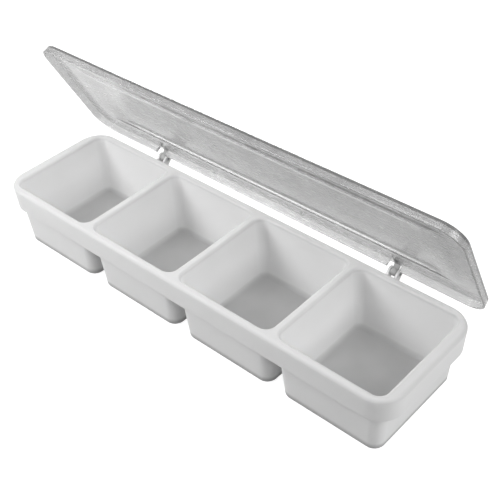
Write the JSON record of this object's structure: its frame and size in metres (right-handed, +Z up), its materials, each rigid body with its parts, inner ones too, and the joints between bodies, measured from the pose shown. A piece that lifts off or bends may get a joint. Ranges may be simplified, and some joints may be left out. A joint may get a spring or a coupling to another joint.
{
  "type": "condiment caddy",
  "caption": "Long condiment caddy: an off-white moulded tray of tapered tubs in one row, under a single clear plastic lid that swings open on clips along the back.",
  "frame": {"origin": "On the surface that the caddy stands on, under the middle of its box with the lid standing open. The middle of the tray is 7 mm in front of it.", "axes": "+X runs along the row of tubs and the hinge axis, -Y is the front, +Y the side with the hinges, and +Z is up."},
  "size_m": [0.406, 0.1228, 0.1637],
  "materials": {
    "tray_plastic": "off-white moulded plastic, slightly translucent, satin with a faint grain",
    "clear_plastic": "clear moulded plastic with a grey cast and fine scuffs",
    "clip_plastic": "translucent grey moulded plastic",
    "pin_steel": "bright drawn steel"
  },
  "bodies": {
    "tray": {"tray": "tray_plastic", "hinge_pin_left": "pin_steel", "hinge_pin_right": "pin_steel"},
    "lid": {"lid": "clear_plastic", "hinge_clip_left": "clip_plastic", "hinge_clip_right": "clip_plastic"}
  },
  "joints": [
    {"name": "lid_hinge", "type": "hinge", "parent": "tray", "child": "lid", "pos_m": [0, 0.056, 0.0547], "axis": [-1, 0, 0], "range_deg": [-62.5, 140]}
  ]
}
